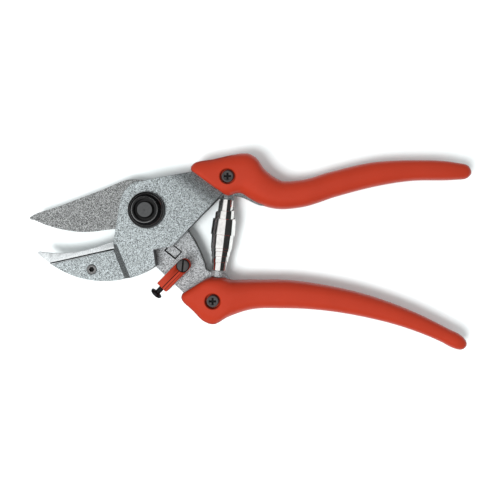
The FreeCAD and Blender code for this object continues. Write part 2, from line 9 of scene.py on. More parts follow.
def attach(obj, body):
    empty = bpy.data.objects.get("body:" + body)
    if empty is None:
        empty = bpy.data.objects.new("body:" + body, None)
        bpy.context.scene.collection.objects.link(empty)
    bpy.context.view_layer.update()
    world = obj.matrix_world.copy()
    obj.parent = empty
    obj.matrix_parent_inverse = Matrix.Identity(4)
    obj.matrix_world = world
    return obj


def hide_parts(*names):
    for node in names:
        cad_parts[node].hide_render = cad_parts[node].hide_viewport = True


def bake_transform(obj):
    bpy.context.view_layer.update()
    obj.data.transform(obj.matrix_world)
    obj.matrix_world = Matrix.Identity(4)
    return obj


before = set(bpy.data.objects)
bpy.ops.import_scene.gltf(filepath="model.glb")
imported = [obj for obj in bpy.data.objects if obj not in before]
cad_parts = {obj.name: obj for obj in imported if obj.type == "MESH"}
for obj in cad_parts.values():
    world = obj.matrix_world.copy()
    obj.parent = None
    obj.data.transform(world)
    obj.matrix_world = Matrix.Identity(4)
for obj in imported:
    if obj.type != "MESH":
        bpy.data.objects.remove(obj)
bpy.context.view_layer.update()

# Pruning shears on a white table. Lengths in the tables are millimetres in the frame's axes.

MM = 0.001
SHEAR_Z = 8.5

UPPER_SEAT = (36.9, 5.2)
LOWER_SEAT = (33.1, -28.6)
LOCK_PIVOT = (17.1, -25.7)
JAW_SCREW = (-26.3, -27.8)
UPPER_GRIP_SCREW = (37.6, 15.6)
LOWER_GRIP_SCREW = (30.7, -42.3)
LEVER_ANGLE = math.radians(225.6)
STUD_Z = 13.0

# Sections across each grip: top point, bottom point, thickness, and how square the section is.
UPPER_RIBS = [
    ((19.4, 19.4), (33.0, 9.3), 16.4, 3.6),
    ((21.6, 22.2), (36.3, 7.3), 17.0, 3.6),
    ((31.0, 24.2), (39.0, 7.1), 17.0, 3.6),
    ((40.6, 26.4), (41.8, 8.0), 17.0, 3.4),
    ((46.6, 27.1), (44.4, 7.7), 17.0, 3.1),
    ((50.6, 25.3), (47.8, 5.4), 16.6, 2.9),
    ((54.8, 19.8), (53.6, 2.5), 15.4, 2.7),
    ((62.0, 14.6), (61.5, 0.7), 13.6, 2.5),
    ((71.7, 14.5), (72.6, 1.5), 12.9, 2.5),
    ((86.2, 18.4), (89.2, 6.6), 12.0, 2.5),
    ((106.7, 23.0), (108.6, 11.6), 11.0, 2.5),
    ((124.0, 24.0), (124.4, 14.1), 9.6, 2.5),
    ((146.5, 22.8), (146.0, 14.7), 7.8, 2.4),
    ((151.6, 21.7), (151.2, 15.2), 6.2, 2.2),
    ((153.3, 19.6), (153.2, 16.8), 2.6, 2.0),
]
LOWER_RIBS = [
    ((28.4, -31.6), (15.1, -40.0), 14.8, 3.6),
    ((32.0, -31.7), (16.2, -42.9), 17.0, 3.6),
    ((36.0, -32.1), (20.7, -47.1), 17.0, 3.6),
    ((39.6, -33.3), (26.0, -52.4), 17.0, 3.4),
    ((44.0, -33.2), (30.6, -54.0), 17.0, 3.1),
    ((48.0, -33.1), (37.4, -50.6), 16.0, 2.9),
    ((54.0, -33.1), (47.2, -47.3), 14.4, 2.7),
    ((66.1, -33.2), (64.6, -46.6), 12.9, 2.5),
    ((86.4, -36.0), (83.5, -47.7), 11.0, 2.5),
    ((106.9, -41.1), (103.5, -51.0), 9.6, 2.5),
    ((124.1, -47.4), (120.5, -55.4), 8.4, 2.5),
    ((142.5, -56.3), (138.8, -62.5), 7.0, 2.4),
    ((149.3, -60.0), (145.6, -65.9), 6.4, 2.2),
    ((151.2, -62.4), (148.6, -66.5), 4.4, 2.1),
    ((151.5, -63.9), (150.2, -65.8), 1.8, 2.0),
]


# ---------------------------------------------------------------- materials

# The colour sockets of a Mix node: its two inputs and its result.
MIX_FIRST, MIX_SECOND, MIX_RESULT = 6, 7, 2


class Tree:
    """Short names for the nodes of one shader tree."""

    def __init__(self, tree):
        self.tree = tree

    def new(self, kind):
        return self.tree.nodes.new(kind)

    def feed(self, socket, value):
        """Links a node's output to a socket, or sets the socket to a number, a grey or a colour."""
        if isinstance(value, bpy.types.NodeSocket):
            self.tree.links.new(value, socket)
        elif socket.type == "RGBA":
            colour = value if isinstance(value, tuple) else (value, value, value)
            socket.default_value = (*colour, 1.0)
        else:
            socket.default_value = value

    def calculate(self, operation, first, second):
        node = self.new("ShaderNodeMath")
        node.operation = operation
        self.feed(node.inputs[0], first)
        self.feed(node.inputs[1], second)
        return node.outputs[0]

    def rise(self, value, start, end, low=0.0, high=1.0):
        """The low number up to the start and the high one from the end, with a straight run between them."""
        node = self.new("ShaderNodeMapRange")
        for socket, number in (("From Min", start), ("From Max", end), ("To Min", low), ("To Max", high)):
            node.inputs[socket].default_value = number
        self.feed(node.inputs["Value"], value)
        return node.outputs["Result"]

    def mix(self, factor, first, second, blend_type="MIX"):
        node = self.new("ShaderNodeMix")
        node.data_type = "RGBA"
        node.blend_type = blend_type
        self.feed(node.inputs["Factor"], factor)
        self.feed(node.inputs[MIX_FIRST], first)
        self.feed(node.inputs[MIX_SECOND], second)
        return node.outputs[MIX_RESULT]

    def axis(self, vector, name):
        split = self.new("ShaderNodeSeparateXYZ")
        self.feed(split.inputs["Vector"], vector)
        return split.outputs[name]


class Surface(Tree):
    """One Principled material, textured in its piece's own coordinates."""

    def __init__(self, name, metallic=0.0, roughness=0.5, gloss=0.5):
        self.material = bpy.data.materials.new(name)
        self.material.use_nodes = True
        super().__init__(self.material.node_tree)
        self.shader = self.tree.nodes["Principled BSDF"]
        self.shader.inputs["Metallic"].default_value = metallic
        self.shader.inputs["Roughness"].default_value = roughness
        self.shader.inputs["Specular IOR Level"].default_value = gloss
        self.place = self.new("ShaderNodeTexCoord").outputs["Object"]

    def noise(self, grain_mm, detail, roughness=0.5):
        noise = self.new("ShaderNodeTexNoise")
        noise.inputs["Scale"].default_value = 1.0 / (grain_mm * MM)
        noise.inputs["Detail"].default_value = detail
        noise.inputs["Roughness"].default_value = roughness
        self.feed(noise.inputs["Vector"], self.place)
        return noise.outputs["Fac"]

    def ramp(self, factor, stops):
        """Turns a factor into colours or greys at the given places."""
        ramp = self.new("ShaderNodeValToRGB")
        elements = ramp.color_ramp.elements
        while len(elements) < len(stops):
            elements.new(0.5)
        for element, (place, colour) in zip(elements, stops):
            element.position = place
            if not isinstance(colour, tuple):
                colour = (colour, colour, colour)
            element.color = (*colour, 1.0)
        self.feed(ramp.inputs["Fac"], factor)
        return ramp.outputs["Color"]

    def fade(self, direction, start_mm, end_mm, tone):
        """1 up to the start along a direction, falling to the tone at the end."""
        dot = self.new("ShaderNodeVectorMath")
        dot.operation = "DOT_PRODUCT"
        dot.inputs[1].default_value = direction
        self.feed(dot.inputs[0], self.place)
        return self.rise(dot.outputs["Value"], start_mm * MM, end_mm * MM, 1.0, tone)

    def colour(self, source):
        self.feed(self.shader.inputs["Base Color"], source)

    def rough(self, source):
        self.feed(self.shader.inputs["Roughness"], source)

    def bump(self, source, height_mm, strength):
        bump = self.new("ShaderNodeBump")
        bump.inputs["Strength"].default_value = strength
        bump.inputs["Distance"].default_value = height_mm * MM
        self.feed(bump.inputs["Height"], source)
        self.feed(self.shader.inputs["Normal"], bump.outputs["Normal"])


GRAIN_MM = 0.33
GRAIN_STOPS = (0.38, 0.5, 0.62)
# Where the blade's coating starts to give way along X, and where the steel is bare.
COATING_END = (-4.0, -2.0)


def blasted_metal(name, colour, contrast, roughness, neck=None):
    """Shot-blasted metal: an even grey with fine light and dark grains, and painted shade that darkens a neck
    if one is given.
    """
    surface = Surface(name, metallic=0.6)
    grains = surface.noise(GRAIN_MM, detail=1.5, roughness=0.6)
    low = tuple(channel * (1.0 - contrast) for channel in colour)
    high = tuple(min(1.0, channel * (1.0 + contrast)) for channel in colour)
    speckle = surface.ramp(grains, list(zip(GRAIN_STOPS, (low, colour, high))))
    clouds = surface.ramp(surface.noise(9.0, detail=3.0), [(0.3, 0.93), (0.7, 1.0)])
    tone = surface.mix(1.0, speckle, clouds, "MULTIPLY")
    # Painted shade: the neck darkens towards its grip.
    if neck:
        tone = surface.mix(1.0, tone, surface.fade(*neck), "MULTIPLY")
    surface.colour(tone)
    surface.rough(surface.ramp(grains, [(0.3, roughness + 0.07), (0.7, roughness - 0.07)]))
    surface.bump(grains, 0.035, 0.5)
    return surface.material


def blade_metal():
    """Steel with a dark coating ahead of the castings, left bare at the tang."""
    surface = Surface("blade_metal", metallic=0.6)
    grains = surface.noise(GRAIN_MM, detail=1.5, roughness=0.6)
    coated_greys = ((0.06, 0.062, 0.062), (0.245, 0.254, 0.254), (0.52, 0.54, 0.54))
    bare_greys = ((0.12, 0.125, 0.13), (0.40, 0.42, 0.43), (0.70, 0.73, 0.74))
    coated = surface.ramp(grains, list(zip(GRAIN_STOPS, coated_greys)))
    bare = surface.ramp(grains, list(zip(GRAIN_STOPS, bare_greys)))
    start, end = COATING_END
    reach = surface.rise(surface.axis(surface.place, "X"), start * MM, end * MM)
    surface.colour(surface.mix(reach, coated, bare))
    surface.rough(surface.ramp(grains, [(0.3, 0.50), (0.7, 0.36)]))
    surface.bump(grains, 0.04, 0.5)
    return surface.material


def smooth_metal(name, colour, roughness, metallic=1.0, grain_mm=1.2, gloss=0.5):
    """Plated or blackened steel, with faint unevenness in its gloss."""
    surface = Surface(name, metallic=metallic, gloss=gloss)
    wear = surface.noise(grain_mm, detail=4.0, roughness=0.6)
    darker = tuple(channel * 0.8 for channel in colour)
    surface.colour(surface.ramp(wear, [(0.35, darker), (0.65, colour)]))
    surface.rough(surface.ramp(wear, [(0.3, max(0.02, roughness - 0.05)), (0.7, roughness + 0.05)]))
    surface.bump(wear, 0.006, 0.4)
    return surface.material


def moulded_plastic(name, colour, roughness, grain_mm=0.55):
    """Satin moulded plastic: fine leathery grain and faint clouds in its colour."""
    surface = Surface(name, gloss=0.28)
    clouds = surface.noise(14.0, detail=3.0, roughness=0.55)
    darker = tuple(channel * 0.93 for channel in colour)
    surface.colour(surface.ramp(clouds, [(0.3, darker), (0.7, colour)]))
    grain = surface.noise(grain_mm, detail=2.0)
    surface.rough(surface.ramp(grain, [(0.3, roughness - 0.04), (0.7, roughness + 0.06)]))
    surface.bump(grain, 0.012, 0.5)
    return surface.material


# Painted shade on the front casting's neck, darkening it towards its grip along a direction, from a start to
# an end, down to a last tone.
NECK_PAINTED_SHADE = ((0.596, 0.803, 0.0), 18.3, 22.8, 0.46)

MATERIALS = {
    "front_casting": blasted_metal("front_casting_metal", (0.395, 0.437, 0.448), contrast=0.75,
                                   roughness=0.40, neck=NECK_PAINTED_SHADE),
    "rear_casting": blasted_metal("rear_casting_metal", (0.40, 0.42, 0.43), contrast=0.75, roughness=0.40),
    "blade_steel": blade_metal(),
    "counter_blade_steel": blasted_metal("counter_blade_metal", (0.78, 0.82, 0.83), contrast=0.18,
                                         roughness=0.38),
    "plain_screw_steel": smooth_metal("plain_screw_metal", (0.34, 0.34, 0.34), 0.30),
    "bolt_steel": smooth_metal("bolt_metal", (0.10, 0.103, 0.105), 0.40, metallic=0.7),
    "black_steel": smooth_metal("black_metal", (0.006, 0.006, 0.0065), 0.24, metallic=0.1, gloss=0.3),
    "spring_chrome": smooth_metal("spring_metal", (0.90, 0.89, 0.87), 0.05, grain_mm=3.0),
    "grip_red": moulded_plastic("grip_plastic", (0.375, 0.030, 0.0105), 0.38),
    "lever_red": moulded_plastic("lever_paint", (0.37, 0.034, 0.014), 0.36, grain_mm=0.3),
}
SCREW_BLACK = smooth_metal("screw_black_metal", (0.085, 0.08, 0.08), 0.34, metallic=0.7)
# Lighter grey for edges: wear, and painted highlight.
EDGE_WEAR_AND_HIGHLIGHT = smooth_metal("edge_wear_and_highlight_metal", (0.30, 0.30, 0.30), 0.35)
# Painted shade: near-black laid into recesses, grooves and gaps where shade falls.
RECESS_PAINTED_SHADE = smooth_metal("recess_painted_shade_metal", (0.006, 0.006, 0.006), 0.5, metallic=0.0, gloss=0.2)
# Painted shade: a dark red for the faces of the lever's grooves.
LEVER_SHADE = moulded_plastic("lever_groove_painted_shade", (0.05, 0.006, 0.004), 0.5, grain_mm=0.3)
# Painted shade for casting faces where shade falls: the step beside the hook jaw and the lock notch's wall.
CASTING_SHADE = blasted_metal("casting_step_painted_shade", (0.15, 0.162, 0.165), contrast=0.75, roughness=0.5)
LOCK_SCREW_GREY = smooth_metal("lock_screw_metal", (0.10, 0.095, 0.095), 0.36, metallic=0.8)


# ---------------------------------------------------------------- pieces and meshes

SHARP_ANGLE = math.radians(32.0)
BEVEL_ANGLE = math.radians(28.0)
FLAT_ANGLE = math.radians(0.5)
# Points closer than this are joined, in a copied CAD mesh and in a turned one.
CAD_WELD = 0.002
LATHE_WELD = 0.0005


def add_piece(name, mesh, slot, body, *nodes, look=None):
    """Puts a mesh in the scene with the look of a slot, riding on a body in place of CAD nodes."""
    mesh.materials.clear()
    mesh.materials.append(look or MATERIALS[slot])
    mesh.polygons.foreach_set("use_smooth", [True] * len(mesh.polygons))
    mesh.set_sharp_from_angle(angle=SHARP_ANGLE)
    piece = bpy.data.objects.new(name, mesh)
    bpy.context.scene.collection.objects.link(piece)
    if body:
        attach(piece, body)
    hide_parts(*nodes)
    return piece


def cad_mesh(node, name):
    """A welded copy of a CAD node's mesh, with its flat faces whole again."""
    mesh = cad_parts[node].data.copy()
    mesh.name = name
    for attribute in ("custom_normal", "sharp_edge", "sharp_face"):
        if attribute in mesh.attributes:
            mesh.attributes.remove(mesh.attributes[attribute])
    shape = bmesh.new()
    shape.from_mesh(mesh)
    bmesh.ops.remove_doubles(shape, verts=shape.verts, dist=CAD_WELD * MM)
    bmesh.ops.dissolve_limit(shape, angle_limit=FLAT_ANGLE, verts=shape.verts, edges=shape.edges)
    shape.to_mesh(mesh)
    shape.free()
    return mesh


def round_edges(piece, radius_mm, segments=3):
    bevel = piece.modifiers.new("rounded edges", "BEVEL")
    bevel.width = radius_mm * MM
    bevel.segments = segments
    bevel.limit_method = "ANGLE"
    bevel.angle_limit = BEVEL_ANGLE
    bevel.use_clamp_overlap = False
    bevel.harden_normals = True


def apply_modifiers(piece):
    """Makes the result of the modifiers the piece's own mesh."""
    graph = bpy.context.evaluated_depsgraph_get()
    mesh = bpy.data.meshes.new_from_object(piece.evaluated_get(graph))
    piece.modifiers.clear()
    piece.data = mesh


def carve(piece, cutter):
    """Cuts a closed mesh out of a piece."""
    tool = bpy.data.objects.new("cutter", cutter)
    bpy.context.scene.collection.objects.link(tool)
    cut = piece.modifiers.new("cut", "BOOLEAN")
    cut.operation = "DIFFERENCE"
    cut.solver = "EXACT"
    cut.object = tool
    apply_modifiers(piece)
    bpy.data.objects.remove(tool)
    piece.data.set_sharp_from_angle(angle=SHARP_ANGLE)


def paint_faces(piece, look, inside):
    """Gives the faces whose centres, in millimetres, pass the test a second material: painted shade in
    recesses and gaps, and painted highlight with wear on edges.
    """
    piece.data.materials.append(look)
    index = len(piece.data.materials) - 1
    for face in piece.data.polygons:
        if inside(face.center / MM):
            face.material_index = index


def bands(centre, *limits):
    """A test for faces within any of the given radius and height bands about a centre."""
    def inside(spot):
        reach = (spot.xy - Vector(centre)).length
        return any(r0 < reach < r1 and z0 < spot.z < z1 for r0, r1, z0, z1 in limits)
    return inside


def along(start, end, reach, low, high):
    """A test for faces close to a straight line seen from above, between two heights."""
    run = end - start

    def inside(spot):
        part = max(0.0, min(1.0, (spot.xy - start).dot(run) / run.length_squared))
        return low < spot.z < high and (spot.xy - start - run * part).length < reach
    return inside


def in_box(low, high):
    """A test for faces in the box between two corners."""
    def inside(spot):
        return all(least < value < most for least, value, most in zip(low, spot, high))
    return inside


def mesh_of(name, points, faces):
    mesh = bpy.data.meshes.new(name)
    mesh.from_pydata([Vector(point) * MM for point in points], [], faces)
    mesh.validate()
    return mesh


def face_outwards(mesh, weld_mm=None):
    """Turns a closed mesh's faces outwards, once points within the weld distance are joined."""
    shape = bmesh.new()
    shape.from_mesh(mesh)
    if weld_mm:
        bmesh.ops.remove_doubles(shape, verts=shape.verts, dist=weld_mm * MM)
    bmesh.ops.recalc_face_normals(shape, faces=shape.faces)
    shape.to_mesh(mesh)
    shape.free()
    return mesh


def rings_to_mesh(name, rings, closed=False):
    """Joins rings of equal length into a skin, with a fan over each end unless the rings close up."""
    count = len(rings[0])
    points = [point for ring in rings for point in ring]
    faces = []
    pairs = len(rings) if closed else len(rings) - 1
    for row in range(pairs):
        here = row * count
        there = ((row + 1) % len(rings)) * count
        for column in range(count):
            after = (column + 1) % count
            faces.append((here + column, here + after, there + after, there + column))
    if not closed:
        for ring, turn in ((rings[0], -1), (rings[-1], 1)):
            hub = len(points)
            points.append(sum((Vector(point) for point in ring), Vector()) / count)
            start = 0 if turn < 0 else (len(rings) - 1) * count
            for column in range(count):
                edge = (start + column, start + (column + 1) % count)
                faces.append((*edge[::turn], hub))
    return mesh_of(name, points, faces)


def place_at(x, y, z=0.0):
    return Matrix.Translation((x, y, z))


def turned(angle, axis="Z"):
    return Matrix.Rotation(angle, 4, axis)


def lathe(name, profile, place=Matrix(), segments=64, ripple=None):
    """Turns a closed profile of (radius, height) about the local Z axis."""
    rings = []
    for step in range(segments):
        angle = 2 * math.pi * step / segments
        ring = []
        for index, (radius, height) in enumerate(profile):
            reach = radius + (ripple(index, step) if ripple else 0.0)
            ring.append(place @ Vector((reach * math.cos(angle), reach * math.sin(angle), height)))
        rings.append(ring)
    return face_outwards(rings_to_mesh(name, rings, closed=True), weld_mm=LATHE_WELD)


def prism(name, outline, bottom, top, place=Matrix()):
    """A closed prism over a flat outline, for cutting."""
    count = len(outline)
    points = [place @ Vector((x, y, z)) for z in (bottom, top) for x, y in outline]
    sides = [(i, (i + 1) % count, count + (i + 1) % count, count + i) for i in range(count)]
    faces = [tuple(reversed(range(count))), tuple(range(count, 2 * count))] + sides
    return mesh_of(name, points, faces)


def polygon(radius, corners):
    angles = [2 * math.pi * corner / corners for corner in range(corners)]
    return [(radius * math.cos(angle), radius * math.sin(angle)) for angle in angles]


# ---------------------------------------------------------------- castings, lever and blades

CAST_EDGE = 0.35
MACHINED_EDGE = 0.15
LEVER_EDGE = 0.55

for node, name, slot, body, edge in (
    ("upper_handle", "front_casting", "front_casting", "upper", CAST_EDGE),
    ("lower_handle", "rear_casting", "rear_casting", "lower", CAST_EDGE),
    ("counter_blade", "hook_plate", "counter_blade_steel", "upper", MACHINED_EDGE),
    ("lock_lever", "lever_arm", "lever_red", "lever", LEVER_EDGE),
):
    round_edges(add_piece(name, cad_mesh(node, name), slot, body, node), edge)


# The joint line between the counter-blade and its jaw.
JOINT_START = Vector((-46.5, -25.35))
JOINT_END = Vector((-9.0, -16.9))
JOINT_WIDE = 0.6
JOINT_FLOOR = 10.2
hook = bpy.data.objects["hook_plate"]
apply_modifiers(hook)
joint_run = (JOINT_END - JOINT_START).normalized()
joint_across = Vector((-joint_run.y, joint_run.x)) * JOINT_WIDE
joint_corners = [JOINT_START, JOINT_END, JOINT_END + joint_across, JOINT_START + joint_across]
carve(hook, prism("joint", joint_corners, JOINT_FLOOR, 12.0))
# Painted shade: the joint groove's faces are coloured black.
paint_faces(hook, RECESS_PAINTED_SHADE, along(JOINT_START, JOINT_END, JOINT_WIDE + 0.15, JOINT_FLOOR - 0.1, 11.3))

# Each groove along the lever: its two sides, and the height of its floor.
LEVER_GROOVES = ((0.15, 0.6, 16.1), (1.6, 1.85, 16.4))
GROOVE_START, GROOVE_END = 3.3, 15.0
LEVER_TOP = 16.74
SCREW_MOAT = [(2.7, 16.1), (3.25, 16.1), (3.25, 18.0), (2.7, 18.0)]
ON_LEVER = place_at(*LOCK_PIVOT) @ turned(LEVER_ANGLE)
lever = bpy.data.objects["lever_arm"]
apply_modifiers(lever)
for side, far_side, floor in LEVER_GROOVES:
    corners = [(GROOVE_START, side), (GROOVE_END, side), (GROOVE_END, far_side), (GROOVE_START, far_side)]
    carve(lever, prism("groove", corners, floor, 18.0, ON_LEVER))
    middle = (side + far_side) / 2
    start, end = ((ON_LEVER @ Vector((reach, middle, 0.0))).xy for reach in (GROOVE_START, GROOVE_END))
    # Painted shade: each groove's faces are coloured dark red.
    paint_faces(lever, LEVER_SHADE, along(start, end, far_side - side, 16.0, LEVER_TOP))
carve(lever, lathe("moat", SCREW_MOAT, place_at(*LOCK_PIVOT), segments=48))
# Painted shade: the moat round the lock screw is coloured black.
paint_faces(lever, RECESS_PAINTED_SHADE, bands(LOCK_PIVOT, (2.65, 3.3, 16.0, 16.7)))

# Faces of the castings with painted shade, each within a box between two corners: the jaw step and the notch
# wall darker, and the gap round the blade's tang seat black.
JAW_STEP = ((-15.5, -27.5, 12.0), (-9.5, -22.0, 14.5))
NOTCH_WALL = ((1.5, -27.0, 9.5), (5.5, -17.0, 16.5))
TANG_SEAT = ((2.0, -25.0, 4.0), (17.0, -12.0, 8.3))
for name, box, look in (
    ("front_casting", JAW_STEP, CASTING_SHADE),
    ("front_casting", NOTCH_WALL, CASTING_SHADE),
    ("rear_casting", TANG_SEAT, RECESS_PAINTED_SHADE),
):
    paint_faces(bpy.data.objects[name], look, in_box(*box))

# The blade's cutting edge, run on past both ends.
BELLY = [
    (-6.0, -10.7), (-17.5, -8.9), (-28.5, -10.2), (-40.0, -9.4), (-49.5, -6.9), (-55.6, -4.3), (-62.0, -1.0),
]
BELLY_STEPS = 60
GRIND_WIDTH = 7.0
EDGE_LAND = 0.25
BLADE_BACK = 5.45
BLADE_FRONT = 8.45


def smooth_line(points, steps):
    """Points along a cubic curve through the given points, spaced by chord length."""
    points = [Vector(point) for point in points]
    spots = [0.0]
    for before, after in zip(points, points[1:]):
        spots.append(spots[-1] + (after - before).length)
    slopes = []
    for i in range(len(points)):
        low = max(0, i - 1)
        high = min(len(points) - 1, i + 1)
        if low == i or high == i:
            slopes.append((points[high] - points[low]) / (spots[high] - spots[low]))
            continue
        left = (points[i] - points[low]) / (spots[i] - spots[low])
        right = (points[high] - points[i]) / (spots[high] - spots[i])
        weight = (spots[i] - spots[low]) / (spots[high] - spots[low])
        slopes.append(left * (1 - weight) + right * weight)
    result = []
    for step in range(steps + 1):
        spot = spots[-1] * step / steps
        i = min(len(points) - 2, max(0, bisect.bisect_right(spots, spot) - 1))
        span = spots[i + 1] - spots[i]
        t = (spot - spots[i]) / span
        result.append(points[i] * (2 * t ** 3 - 3 * t ** 2 + 1) + slopes[i] * span * (t ** 3 - 2 * t ** 2 + t)
                      + points[i + 1] * (3 * t ** 2 - 2 * t ** 3) + slopes[i + 1] * span * (t ** 3 - t ** 2))
    return result


def grind_cutter():
    """A wedge swept along the blade's belly, which leaves the ground bevel on the back."""
    line = smooth_line(BELLY, BELLY_STEPS)
    land = BLADE_FRONT - EDGE_LAND
    fall = (land - BLADE_BACK) / GRIND_WIDTH
    outside, inside = -3.0, GRIND_WIDTH + 2.0
    corners = (
        (outside, land - fall * outside),
        (inside, land - fall * inside),
        (outside, land - fall * inside),
    )
    rings = []
    for index, spot in enumerate(line):
        ahead = line[min(index + 1, len(line) - 1)] - line[max(index - 1, 0)]
        inward = Vector((ahead.y, -ahead.x)).normalized()
        rings.append([(*(spot + inward * reach), height) for reach, height in corners])
    return face_outwards(rings_to_mesh("grind", rings))


blade = add_piece("blade", cad_mesh("cutting_blade", "blade"), "blade_steel", "lower", "cutting_blade")
carve(blade, grind_cutter())
round_edges(blade, 0.12, segments=2)


# ---------------------------------------------------------------- grips

GRIP_HIGH = 27.05
RING_POINTS = 48
GRIP_STEPS = 90
MOUTH_INSET = 1.1
MOUTH_EDGE = 0.35


def grip_ring(top, bottom, thick, square, inset=0.0):
    """One section of a grip: a rounded box between the two points, less an inset all round."""
    middle = (top + bottom) / 2
    across = (top - bottom) / 2
    half = across.length - inset
    across.normalize()
    ring = []
    for step in range(RING_POINTS):
        angle = 2 * math.pi * step / RING_POINTS
        cosine, sine = math.cos(angle), math.sin(angle)
        side = half * math.copysign(abs(cosine) ** (2 / square), cosine)
        rise = (thick / 2 - inset) * math.copysign(abs(sine) ** (2 / square), sine)
        ring.append((middle.x + across.x * side, middle.y + across.y * side, SHEAR_Z + rise))
    return ring


def grip_mesh(name, ribs):
    """A grip's skin through its ribs, with a rounded edge round its front end."""
    thickest = max(rib[2] for rib in ribs)
    numbers = [(*top, *bottom, thick, square) for top, bottom, thick, square in ribs]
    sections = []
    for section in smooth_line(numbers, GRIP_STEPS):
        top, bottom = Vector(section[0:2]), Vector(section[2:4])
        top.y = min(top.y, GRIP_HIGH)
        sections.append((top, bottom, min(section[4], thickest), section[5]))
    first, third = sections[0], sections[2]
    forward = ((first[0] + first[1]) / 2 - (third[0] + third[1]) / 2).normalized()
    mouth = grip_ring(*first, inset=MOUTH_INSET)
    edge = [(x - forward.x * MOUTH_EDGE, y - forward.y * MOUTH_EDGE, z)
            for x, y, z in grip_ring(*first, inset=MOUTH_EDGE)]
    rings = [mouth, edge] + [grip_ring(*section) for section in sections[1:]]
    return face_outwards(rings_to_mesh(name, rings))


GRIP_RECESS = [(0.0, 14.4), (3.25, 14.4), (3.45, 15.9), (3.7, 16.7), (4.3, 17.2), (4.3, 20.0), (0.0, 20.0)]

for node, name, ribs, screw, body in (
    ("upper_grip", "upper_sleeve", UPPER_RIBS, UPPER_GRIP_SCREW, "upper"),
    ("lower_grip", "lower_sleeve", LOWER_RIBS, LOWER_GRIP_SCREW, "lower"),
):
    sleeve = add_piece(name, grip_mesh(name, ribs), "grip_red", body, node)
    carve(sleeve, lathe("recess", GRIP_RECESS, place_at(*screw), segments=48))


# ---------------------------------------------------------------- screws

def cross_outline(long, wide):
    a, b = long / 2, wide / 2
    return [
        (a, -b), (a, b), (b, b), (b, a), (-b, a), (-b, b),
        (-a, b), (-a, -b), (-b, -b), (-b, -a), (b, -a), (b, -b),
    ]


GRIP_SCREW = [
    (0.0, 5.2), (1.5, 5.2), (1.5, 14.4), (2.62, 14.4), (2.8, 14.6), (2.8, 16.2), (2.68, 16.4), (2.45, 16.5),
    (2.0, 16.5), (1.85, 16.42), (0.0, 16.42),
]
for node, name, spot, body in (
    ("upper_grip_screw", "upper_cross_screw", UPPER_GRIP_SCREW, "upper"),
    ("lower_grip_screw", "lower_cross_screw", LOWER_GRIP_SCREW, "lower"),
):
    mesh = lathe(name, GRIP_SCREW, place_at(*spot))
    screw = add_piece(name, mesh, "black_steel", body, node, look=SCREW_BLACK)
    carve(screw, prism("cross", cross_outline(3.3, 1.0), 15.3, 17.0, place_at(*spot)))
    # Painted shade: the cross recess is coloured black.
    paint_faces(screw, RECESS_PAINTED_SHADE, bands(spot, (0.0, 1.75, 15.2, 16.35)))

JAW_SCREW_PROFILE = [
    (0.0, 8.8), (1.5, 8.8), (1.5, 11.6), (2.2, 11.6), (2.3, 11.7), (2.3, 12.85), (2.2, 13.02), (2.05, 13.1),
    (1.75, 13.1), (1.6, 12.98), (0.0, 12.98),
]
jaw_screw = add_piece("jaw_socket_screw", lathe("jaw_socket_screw", JAW_SCREW_PROFILE, place_at(*JAW_SCREW)),
                      "plain_screw_steel", "upper", "counter_blade_screw")
carve(jaw_screw, prism("hexagon", polygon(1.35, 6), 11.9, 14.0, place_at(*JAW_SCREW)))
# Painted shade: the hexagon socket is coloured black.
paint_faces(jaw_screw, RECESS_PAINTED_SHADE, bands(JAW_SCREW, (0.0, 1.4, 11.8, 12.9)))

LOCK_SCREW_PROFILE = [
    (0.0, 3.0), (1.7, 3.0), (1.7, 16.75), (2.65, 16.75), (2.8, 16.9), (2.8, 17.65), (2.7, 17.82), (2.5, 17.9),
    (0.0, 17.9),
]
lock_screw = add_piece("lock_slot_screw", lathe("lock_slot_screw", LOCK_SCREW_PROFILE, place_at(*LOCK_PIVOT)),
                       "plain_screw_steel", "lower", "lock_screw", look=LOCK_SCREW_GREY)
SLOT = [(-4.0, -0.42), (4.0, -0.42), (4.0, 0.42), (-4.0, 0.42)]
SLOT_PLACE = place_at(*LOCK_PIVOT) @ turned(math.radians(84.0))
carve(lock_screw, prism("slot", SLOT, 17.1, 19.0, SLOT_PLACE))
# Painted shade: the slot and the rim round the head are coloured black.
paint_faces(lock_screw, RECESS_PAINTED_SHADE, bands(LOCK_PIVOT, (0.0, 2.75, 17.0, 17.8), (2.7, 2.9, 16.7, 17.85)))


# ---------------------------------------------------------------- pivot

BOLT_PROFILE = [
    (0.0, 0.0), (8.6, 0.0), (8.8, 0.05), (9.9, 1.15), (10.0, 1.35), (10.0, 1.85), (9.85, 2.0), (4.0, 2.0),
    (4.0, 19.5), (3.5, 20.1), (3.4, 20.2), (0.42, 20.2), (0.0, 19.85),
]
bolt = add_piece("pivot_shaft", lathe("pivot_shaft", BOLT_PROFILE, segments=96),
                 "bolt_steel", "lower", "pivot_bolt")
# Painted shade: the chamfer at the bolt's end is coloured black.
paint_faces(bolt, RECESS_PAINTED_SHADE, bands((0.0, 0.0), (3.4, 4.1, 17.0, 20.19)))

NUT_PROFILE = [
    (4.0, 15.15), (8.3, 15.15), (8.5, 15.35), (8.5, 17.0), (8.25, 17.3), (8.0, 17.35), (7.75, 17.4),
    (7.45, 17.42), (7.3, 17.6), (7.1, 17.66), (6.5, 18.05), (6.1, 18.3), (6.1, 20.5), (5.98, 20.7),
    (5.72, 20.8), (5.15, 20.8), (4.96, 20.72), (4.9, 20.55), (4.9, 18.4), (4.0, 18.4),
]
TEETH = 64
TOOTH_STEPS = 3
TOOTH_DEPTH = 0.16
RIM_ROWS = (2, 3)


def teeth(row, step):
    """A shallow cut down the nut's rim at every tooth."""
    return -TOOTH_DEPTH if row in RIM_ROWS and step % TOOTH_STEPS == 0 else 0.0


